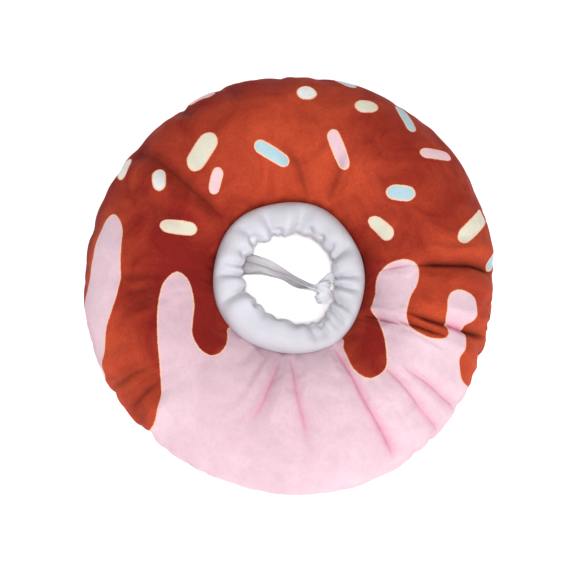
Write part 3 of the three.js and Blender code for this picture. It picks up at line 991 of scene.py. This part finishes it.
def make_front():
    angles = ring_angles(880)
    inner_seam = inner_seam_turn(angles) + SEAM_LAP
    turns = turns_between(OUTER_SEAM_TURN, inner_seam, 105)
    obj, angle, along = panel("front_plush", angles, turns, OUTER_SEAM_TURN, inner_seam)
    places = flat_place(angle, along)
    paint_glaze(obj, angle, along, places)
    paint_sprinkles(obj, angle, along, places)
    material = plush("printed_pile", print_colours, linear(255, 120, 80), sheen=0.09)
    placed(obj, material, "cover_front")


def make_back():
    angles = ring_angles(640)
    inner_seam = inner_seam_turn(angles) - 360 + BACK_DROP
    turns = turns_between(inner_seam, -OUTER_SEAM_TURN, 85)
    obj, _, _ = panel("back_plush", angles, turns, -OUTER_SEAM_TURN, inner_seam)
    material = plush("plain_pile", pink_pile, linear(255, 235, 240), sheen=0.2)
    placed(obj, material, "cover_back")


# The print
SHARE_WEIGHT = 60  # how many degrees a whole share counts as, where a line is rounded
PAST_SEAM = 1.08  # the share at which an open line ends outside the panel
UNDER_SLEEVE = 0.02  # the share at which it ends on the inside
UNROLL_FROM = -250  # the angle at which the ring is cut to lay the lines out flat
SPRINKLE_TAPER = 0.2
FAR_OFF = 1e9


def smooth_line(rows, steps=4):
    """A rounder line through a table's rows."""
    weights = (1, SHARE_WEIGHT)
    points, _ = route_samples(np.c_[np.array(rows) * weights, np.zeros(len(rows))], len(rows) * steps)
    return points[:, :2] / weights


def glaze_lines():
    """The glaze's edges, with ends that run on past the panel's own."""
    lines = [
        (LEFT_DRIP_GAP, PAST_SEAM, PAST_SEAM),
        (MIDDLE_DRIP_GAP, PAST_SEAM, UNDER_SLEEVE),
        (RIGHT_DRIPS, UNDER_SLEEVE, PAST_SEAM),
    ]
    return [smooth_line([(rows[0][0], start), *rows, (rows[-1][0], end)]) for rows, start, end in lines]


def inside_line(angle, along, line):
    """Whether points lie inside a closed line."""
    inside = np.zeros(angle.shape, bool)
    for (a0, s0), (a1, s1) in zip(line, np.roll(line, -1, 0)):
        crosses = (s0 > along) != (s1 > along)
        if s0 != s1:
            inside ^= crosses & (angle < (a1 - a0) * (along - s0) / (s1 - s0) + a0)
    return inside


def distance_to_line(points, line):
    best = np.full(len(points), FAR_OFF)
    for start, end in zip(line[:-1], line[1:]):
        side = end - start
        share = np.clip(((points - start) @ side) / (side @ side), 0, 1)
        best = np.minimum(best, ((points - start - share[:, None] * side) ** 2).sum(1))
    return np.sqrt(best)


def flat_place(angle, along):
    """Places on the ring without its folds."""
    return ring_points(angle, 180 * (1 - along), 0, 0)


def paint_glaze(obj, angle, along, places):
    """Stores the distance from the glaze's edge, which is less than 0 on the pink."""
    lines = glaze_lines()
    distance = np.min([distance_to_line(places, flat_place(*line.T)) for line in lines], 0)
    unrolled = (angle - UNROLL_FROM) % 360 + UNROLL_FROM
    pink = inside_line(unrolled, along, lines[0]) | inside_line(unrolled, along, np.vstack(lines[1:]))
    point_values(obj, "glaze_inside", np.where(pink, -distance, distance))


def paint_sprinkles(obj, angle, along, places):
    """Stores the distance from the nearest sprinkle, and its colour."""
    radius = np.hypot(places[:, 0] - SHIFT[0], places[:, 1] - SHIFT[1])
    nearest = np.full(angle.shape, FAR_OFF)
    tint = np.zeros((len(angle), 4))
    for colour, at, share, length, width, turn in SPRINKLES:
        around = np.radians(turn_between(angle, at)) * radius
        outward = (along - share) * SECTION_LENGTH
        ahead = around * cosine(turn) + outward * sine(turn)
        aside = outward * cosine(turn) - around * sine(turn)
        beyond = np.maximum(np.abs(ahead) - (length - width) / 2, 0)
        taper = 1 + SPRINKLE_TAPER * np.minimum(np.abs(ahead) / (length / 2), 1) ** 2
        gap = np.hypot(beyond, aside * taper) - width / 2
        tint[gap < nearest] = SPRINKLE_COLOURS[colour]
        nearest = np.minimum(nearest, gap)
    point_values(obj, "sprinkle_outside", nearest)
    point_values(obj, "sprinkle_tint", tint, "FLOAT_COLOR")


# The sleeve
SEAM_TUCK = 0.5  # of its edge under the plush
PUFF_FLATNESS = 0.76  # less than 1 for a puff that is flat on top and steep towards the hem
PUFF_SLOPE = 0.8  # less than 1 for a puff that rises steeply from the seam
SKIRT_DROP = 100  # how fast it goes down below the seam, in millimetres for a whole share
SLEEVE_LENGTH = 42  # from the inner seam over the puff to the hem
FULLNESS = 2  # how far it stands out between its gathers
GATHER_STRENGTH = 1.6
HEM_CALM = 0.35  # how much less the gathers move the hem itself
SMOOTH_HEM = (56, 34)  # the middle and the width of the stretch where the hem is smoothest
SMOOTH_HEM_CALM = 0.5  # how much calmer still it is there
SMOOTH_HEM_LIFT = 0.6  # how far the gathers move it there on the whole


def sleeve_line(angle, share, gather):
    """The sleeve's middle line, as radius, height, outward, upward and thickness."""
    seam_radius = (SLEEVE_DIAMETER / 2 - SLEEVE_WALL / 2 - SEAM_TUCK) * waved(CUFF_WAVES, angle)
    seam_top = SEAM_HEIGHT + (RING_HEIGHT - SEAM_HEIGHT) * sine(inner_seam_turn(angle)) + SLEEVE_LIFT
    hem_radius = NECK_DIAMETER / 2 * waved(HEM_WAVES, angle) + HEM_BEAD / 2
    middle = (seam_radius + hem_radius) / 2
    half = (seam_radius - hem_radius) / 2
    turn = PUFF_SWEEP * np.maximum(share, 0)
    outward = np.where(turn < 90, cosine(turn), -np.abs(cosine(turn)) ** PUFF_FLATNESS)
    power = np.where(turn < 90, PUFF_SLOPE, PUFF_FLATNESS)
    upward = np.where(sine(turn) > 0, np.abs(sine(turn)) ** power, sine(turn))
    radius = middle + (half + gather) * outward
    height = seam_top + (SLEEVE_PUFF + gather) * upward + SKIRT_DROP * np.minimum(share, 0)
    thickness = SLEEVE_WALL + (HEM_BEAD - SLEEVE_WALL) * smoothstep(share, 0.74, 0.9)
    return radius, height, outward, upward, thickness


def hem_place(angle):
    """The radius and height of the hem's middle."""
    return sleeve_line(angle, np.float64(1), 0)[:2]


def sleeve_gather(angle, share):
    """How far the gathers lift the sleeve."""
    to_hem = (1 - share) * SLEEVE_LENGTH
    folds = np.zeros(np.broadcast(angle, share).shape)
    for at, lean, width, depth, length in GATHERS:
        way = np.clip(to_hem / length, 0, 1)
        off = np.abs(turn_between(angle, at + lean * way)) / (width * (0.75 + 0.5 * way))
        folds += depth * np.exp(-(off**1.6)) * (1 - smoothstep(way, 0.45, 1))
    tucks = creases(angle, to_hem, *HEM_TUCKS)
    broad = ripple(angle + 6 * sine(share * 200), 7, 15, 12)
    gather = (FULLNESS - GATHER_STRENGTH * folds - tucks + broad) * smoothstep(share, 0.06, 0.5)
    middle, width = SMOOTH_HEM
    smooth = SMOOTH_HEM_CALM * bell(turn_between(angle, middle), width)
    near_hem = smoothstep(share, 0.7, 1)
    return gather * (1 - (HEM_CALM + smooth) * near_hem) + SMOOTH_HEM_LIFT * smooth * near_hem


def make_sleeve(material):
    angles = np.linspace(0, 360, 640, endpoint=False)[:, None]
    shares = np.linspace(-0.1, 1, 72)[None, :]
    radius, height, outward, upward, thickness = sleeve_line(angles, shares, sleeve_gather(angles, shares))
    half = thickness / 2
    outer, inner = (polar(radius + outward * out, angles, height + upward * out) for out in (half, -half))
    close = np.linspace(90, -90, 9)[1:-1]
    radius, height, outward, upward = (values[:, -1:] for values in (radius, height, outward, upward))
    bead = polar(
        radius + HEM_BEAD / 2 * (outward * sine(close) - upward * cosine(close)), angles,
        height + HEM_BEAD / 2 * (upward * sine(close) + outward * cosine(close)),
    )
    points = np.concatenate([outer, bead, inner[:, ::-1]], 1) + SHIFT
    obj = grid_mesh("sleeve_cloth", points, (2 * math.pi * 46, 90))
    placed(obj, material, "neck_sleeve")


# The inflation valve, as (radius, height) of its outline's corners
VALVE_PROFILE = [
    (0.02, -6), (5.5, -6), (5.5, 0.3), (11, 0.3), (11, 1.5), (7.4, 1.7), (6.6, 2.4), (6.5, 5), (4.2, 5),
    (3.9, 4.5), (0.02, 4.5),
]
VALVE_CORNER = 0.5  # how far its corners are rounded


def lathe(name, profile, corner, segments=72):
    """A turned piece with rounded corners."""
    line = [profile[0]]
    for before, here, after in zip(profile[:-2], profile[1:-1], profile[2:]):
        here = np.array(here, float)
        arms = [np.array(p, float) - here for p in (before, after)]
        cuts = [here + arm / np.linalg.norm(arm) * min(corner, np.linalg.norm(arm) / 2.2) for arm in arms]
        for t in np.linspace(0, 1, 5):
            line.append(cuts[0] * (1 - t) ** 2 + here * 2 * t * (1 - t) + cuts[1] * t**2)
    radius, height = np.array(line + [profile[-1]], float).T
    angles = np.linspace(0, 360, segments, endpoint=False)[:, None]
    return grid_mesh(name, polar(radius, angles, height), (40, 30), wrap_columns=False)


def make_valve(material):
    valve = lathe("air_valve", VALVE_PROFILE, VALVE_CORNER)
    half_width, drop = section_sizes(VALVE_ANGLE)
    place = ring_points(VALVE_ANGLE, VALVE_TURN, 0, 0)
    normal = Vector((0, drop * cosine(VALVE_TURN), half_width * sine(VALVE_TURN)))
    aim = Vector((0, 0, 1)).rotation_difference(normal)
    valve.data.transform(Matrix.Translation(Vector(place) * MM) @ aim.to_matrix().to_4x4())
    placed(valve, material, "inflation_valve")


# The pieces
tape = woven_tape("tape_weave", linear(196, 196, 199))
knot = make_knot(woven_tape("knot_weave", linear(205, 205, 211), by_place=True))
tail("tape_tail_upper", UPPER_TAIL_ROUTE, "drawstring_tail_upper", tape)
tail("tape_tail_lower", LOWER_TAIL_ROUTE, "drawstring_tail_lower", tape)
make_front()
make_back()
make_sleeve(smooth_cloth("sleeve_weave", linear(200, 199, 207)))
make_valve(soft_plastic("valve_plastic", linear(233, 230, 224)))


# Floor, world and lights, in metres
FLOOR_SIZE = 6
SOFT_LIGHTS = [("key", (0.2, -0.92, 1.32), 16.5), ("top", (-0.02, -0.1, 1.7), 10)]  # (name, place, watts)
SOFT_LIGHT_AIM = (0, 0, 0.04)
# A small spot lights the tape in the opening
OPENING_AIM = (Vector((-6, 0, 60)) + Vector(SHIFT)) * MM
OPENING_DISTANCE = 1.6


def make_floor():
    corners = np.array([[[-1, -1, 0], [-1, 1, 0]], [[1, -1, 0], [1, 1, 0]]]) * FLOOR_SIZE / 2 / MM
    floor = grid_mesh("floor", corners, wrap_rows=False, wrap_columns=False)
    s = Surface("floor_white")
    roughness = s.varied(s.noise(90), 0.7, 0.8)
    floor.data.materials.append(s.finished({"Base Color": (0.93, 0.93, 0.94, 1), "Roughness": roughness}))
    return floor


def make_light(name, kind, place, away, **settings):
    """A light that shines against the direction away."""
    data = bpy.data.lights.new(name, kind)
    set_all(data, settings)
    light = added(name, data)
    light.location = place
    light.rotation_euler = away.to_track_quat("Z", "Y").to_euler()
    return light


def make_floor_light(floor):
    """A soft sun on the floor alone, so that it is white in the opening too."""
    light = make_light("floor_light", "SUN", (0, 0, 0), TOWARD_CAMERA, energy=1.3, angle=math.radians(4))
    lit = bpy.data.collections.new("lit_floor")
    lit.objects.link(floor)
    light.light_linking.receiver_collection = lit


def make_world():
    world = bpy.data.worlds.new("studio")
    bpy.context.scene.world = world
    world.use_nodes = True
    background = world.node_tree.nodes["Background"]
    background.inputs["Color"].default_value = (1, 1, 1, 1)
    background.inputs["Strength"].default_value = 0.37


make_floor_light(make_floor())
make_light(
    "opening", "SPOT", OPENING_AIM + TOWARD_CAMERA * OPENING_DISTANCE, TOWARD_CAMERA,
    energy=110, spot_size=math.radians(2), spot_blend=0.5, shadow_soft_size=0.03,
)
for name, place, watts in SOFT_LIGHTS:
    make_light(name, "AREA", place, Vector(place) - Vector(SOFT_LIGHT_AIM), size=0.9, energy=watts)
make_world()
bpy.context.scene.view_settings.view_transform = "Standard"
